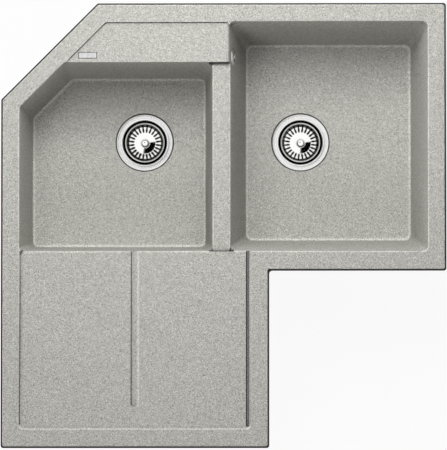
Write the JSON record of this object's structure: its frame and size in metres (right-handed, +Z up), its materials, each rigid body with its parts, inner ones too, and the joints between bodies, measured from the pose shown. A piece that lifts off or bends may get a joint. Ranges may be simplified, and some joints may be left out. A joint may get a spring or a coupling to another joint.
{
  "type": "corner kitchen sink",
  "caption": "L-shaped corner kitchen sink with two bowls, a tap deck, a fluted drainer, lift-out strainers, an overflow, waste pipes and fixing clamps.",
  "frame": {"origin": "on the worktop surface, under the middle of the rim seal in the inside corner of the L", "axes": "+Z up, +Y towards the back edge with the tap deck, +X towards the right bowl's side"},
  "size_m": [0.83, 0.83, 0.298],
  "materials": {
    "composite": "matte",
    "steel": "satin",
    "chrome": "polished",
    "zinc_steel": "satin",
    "dark_plastic": "matte",
    "white_plastic": "satin",
    "rubber": "matte"
  },
  "bodies": {
    "sink": {"sink_body": "composite", "left_waste_flange": "steel", "right_waste_flange": "steel", "left_waste_screw": "steel", "right_waste_screw": "steel", "overflow_rosette": "chrome", "overflow_screw": "chrome", "clamp_screw_1": "zinc_steel", "clamp_screw_2": "zinc_steel", "clamp_screw_3": "zinc_steel", "clamp_screw_4": "zinc_steel", "clamp_screw_5": "zinc_steel", "clamp_screw_6": "zinc_steel", "clamp_screw_7": "zinc_steel", "clamp_screw_8": "zinc_steel", "overflow_elbow": "dark_plastic", "overflow_upper_nut": "dark_plastic", "overflow_lower_nut": "dark_plastic", "left_housing_nut": "dark_plastic", "left_tee_nut": "dark_plastic", "right_housing_nut": "dark_plastic", "right_tee_nut": "dark_plastic", "left_waste_housing": "white_plastic", "right_waste_housing": "white_plastic", "outlet_tee": "white_plastic", "left_link_pipe": "white_plastic", "right_link_pipe": "white_plastic", "overflow_pipe": "white_plastic", "rim_seal": "rubber", "left_flange_seal": "rubber", "right_flange_seal": "rubber", "left_bowl_gasket": "rubber", "right_bowl_gasket": "rubber", "overflow_seal": "rubber", "overflow_upper_seal": "rubber", "overflow_lower_seal": "rubber", "left_housing_seal": "rubber", "left_tee_seal": "rubber", "right_housing_seal": "rubber", "right_tee_seal": "rubber"},
    "left_strainer": {"left_basket": "steel", "left_basket_knob": "chrome", "left_plug_seal": "rubber"},
    "right_strainer": {"right_basket": "steel", "right_basket_knob": "chrome", "right_plug_seal": "rubber"},
    "clamp_1": {"clamp_jaw_1": "zinc_steel"},
    "clamp_2": {"clamp_jaw_2": "zinc_steel"},
    "clamp_3": {"clamp_jaw_3": "zinc_steel"},
    "clamp_4": {"clamp_jaw_4": "zinc_steel"},
    "clamp_5": {"clamp_jaw_5": "zinc_steel"},
    "clamp_6": {"clamp_jaw_6": "zinc_steel"},
    "clamp_7": {"clamp_jaw_7": "zinc_steel"},
    "clamp_8": {"clamp_jaw_8": "zinc_steel"}
  },
  "joints": [
    {"name": "left_strainer_lift", "type": "slide", "parent": "sink", "child": "left_strainer", "axis": [0, 0, 1], "range_m": [0, 0.26]},
    {"name": "right_strainer_lift", "type": "slide", "parent": "sink", "child": "right_strainer", "axis": [0, 0, 1], "range_m": [0, 0.26]},
    {"name": "clamp_1_swing", "type": "hinge", "parent": "sink", "child": "clamp_1", "pos_m": [-0.19942, 0.48022, -0.042], "axis": [0, 0, 1], "range_deg": [0, 90]},
    {"name": "clamp_2_swing", "type": "hinge", "parent": "sink", "child": "clamp_2", "pos_m": [0.14088, 0.48022, -0.042], "axis": [0, 0, 1], "range_deg": [0, 90]},
    {"name": "clamp_3_swing", "type": "hinge", "parent": "sink", "child": "clamp_3", "pos_m": [-0.48022, 0.19942, -0.042], "axis": [0, 0, 1], "range_deg": [0, 90]},
    {"name": "clamp_4_swing", "type": "hinge", "parent": "sink", "child": "clamp_4", "pos_m": [-0.48022, -0.14088, -0.042], "axis": [0, 0, 1], "range_deg": [0, 90]},
    {"name": "clamp_5_swing", "type": "hinge", "parent": "sink", "child": "clamp_5", "pos_m": [0.31378, 0.24822, -0.042], "axis": [0, 0, 1], "range_deg": [0, 90]},
    {"name": "clamp_6_swing", "type": "hinge", "parent": "sink", "child": "clamp_6", "pos_m": [-0.24822, -0.31378, -0.042], "axis": [0, 0, 1], "range_deg": [0, 90]},
    {"name": "clamp_7_swing", "type": "hinge", "parent": "sink", "child": "clamp_7", "pos_m": [-0.01622, -0.16678, -0.042], "axis": [0, 0, 1], "range_deg": [0, 90]},
    {"name": "clamp_8_swing", "type": "hinge", "parent": "sink", "child": "clamp_8", "pos_m": [0.16678, 0.01622, -0.042], "axis": [0, 0, 1], "range_deg": [0, 90]}
  ]
}
